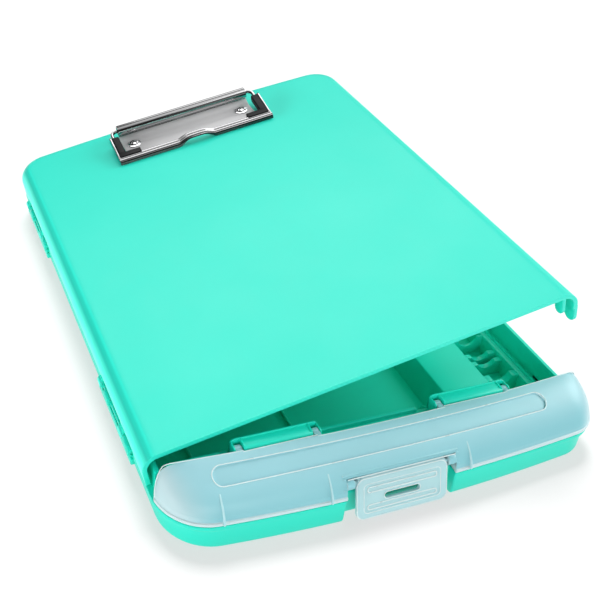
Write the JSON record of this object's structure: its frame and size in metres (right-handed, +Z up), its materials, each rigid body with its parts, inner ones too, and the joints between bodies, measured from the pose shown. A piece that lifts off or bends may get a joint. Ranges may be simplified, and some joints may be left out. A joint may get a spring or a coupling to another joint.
{
  "type": "storage clipboard box",
  "caption": "Shallow hinged box with a writing cover, a sprung paper clip, a frosted lid over a front pen compartment and a swinging latch.",
  "frame": {"origin": "middle of the tray's flat underside, on the centre line of the latch", "axes": "+X to the right, away from the cover hinges; +Y to the rear, towards the paper clip; +Z up"},
  "size_m": [0.2535, 0.3526, 0.0866],
  "materials": {
    "tray": "satin",
    "cover": "satin",
    "frosted": "frosted",
    "plate_steel": "satin",
    "bright_steel": "polished",
    "grip": "matte"
  },
  "bodies": {
    "base": {"base_tray": "tray", "cover_hinge_pin_front": "tray", "cover_hinge_pin_rear": "tray"},
    "cover": {"top_cover": "cover", "clip_base_plate": "plate_steel", "clip_rivets": "plate_steel", "clip_rivet_washers": "plate_steel"},
    "clip": {"clip_jaw": "bright_steel", "clip_spring_wire": "bright_steel", "clip_corner_grip_left": "grip", "clip_corner_grip_right": "grip"},
    "lid": {"compartment_lid": "frosted"},
    "latch": {"lid_latch": "frosted"}
  },
  "joints": [
    {"name": "cover_hinge", "type": "hinge", "parent": "base", "child": "cover", "pos_m": [-0.1211, 0, 0.016], "axis": [0, -1, 0], "range_deg": [-12.8, 130]},
    {"name": "lid_hinge", "type": "hinge", "parent": "base", "child": "lid", "pos_m": [0, -0.1395, 0.033], "axis": [-1, 0, 0], "range_deg": [0, 90]},
    {"name": "latch_hinge", "type": "hinge", "parent": "lid", "child": "latch", "pos_m": [0, -0.1674, 0.0226], "axis": [-1, 0, 0], "range_deg": [0, 105]},
    {"name": "clip_hinge", "type": "hinge", "parent": "cover", "child": "clip", "pos_m": [-0.00734, 0.155, 0.06912], "axis": [-0.9751, 0, -0.2215], "range_deg": [0, 55], "stiffness_Nm_per_rad": 0.6, "springref_deg": -45.84}
  ]
}
